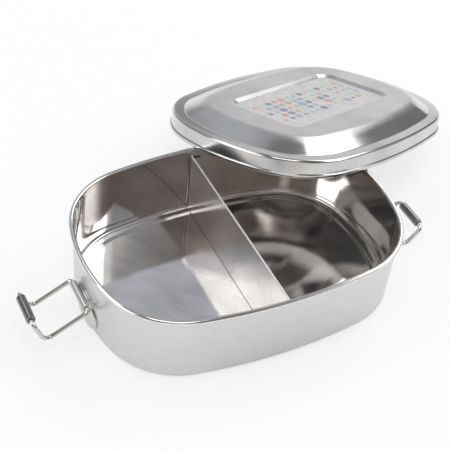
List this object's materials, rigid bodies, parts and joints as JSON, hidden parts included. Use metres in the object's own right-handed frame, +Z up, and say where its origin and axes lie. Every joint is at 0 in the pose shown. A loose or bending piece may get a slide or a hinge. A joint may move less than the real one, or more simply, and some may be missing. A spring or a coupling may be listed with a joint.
{
  "type": "lunch box",
  "caption": "Stainless-steel lunch box: divided deep-drawn tray with rolled rim, press-formed lid leaning on it, and swinging wire bail clips with finger tubes at its ends.",
  "frame": {"origin": "middle of the tray's flat foot, on the table", "axes": "+X along the tray from the left clip to the right one, +Y from its front to its back, +Z up"},
  "size_m": [0.3038, 0.223, 0.0634],
  "materials": {
    "tray_steel": "satin outside, polished inside and on the rolled rim",
    "divider_steel": "brushed along its length",
    "lid_steel": "satin plateau with a printed sunk panel, brushed slopes, polished skirt and hem",
    "bracket_steel": "satin",
    "wire_steel": "polished drawn wire",
    "tube_steel": "polished rolled tube"
  },
  "bodies": {
    "tray": {"tray": "tray_steel", "divider": "divider_steel", "left_clip_bracket": "bracket_steel", "right_clip_bracket": "bracket_steel"},
    "lid": {"lid": "lid_steel"},
    "left_bail": {"left_wire_bail": "wire_steel"},
    "right_bail": {"right_wire_bail": "wire_steel"},
    "left_tube": {"left_finger_tube": "tube_steel"},
    "right_tube": {"right_finger_tube": "tube_steel"}
  },
  "joints": [
    {"name": "lid_lift", "type": "slide", "parent": "tray", "child": "lid", "axis": [0, 0, 1], "range_m": [0, 0.12]},
    {"name": "left_bail_swing", "type": "hinge", "parent": "tray", "child": "left_bail", "pos_m": [-0.09053, 0, 0.0188], "axis": [0, 1, 0], "range_deg": [-19, 90]},
    {"name": "right_bail_swing", "type": "hinge", "parent": "tray", "child": "right_bail", "pos_m": [0.09053, 0, 0.0188], "axis": [0, -1, 0], "range_deg": [0, 100]},
    {"name": "left_tube_turn", "type": "hinge", "parent": "left_bail", "child": "left_tube", "pos_m": [-0.11968, 0, 0.02015], "axis": [0, 1, 0], "continuous": true},
    {"name": "right_tube_turn", "type": "hinge", "parent": "right_bail", "child": "right_tube", "pos_m": [0.1185, 0, 0.01048], "axis": [0, -1, 0], "continuous": true}
  ]
}
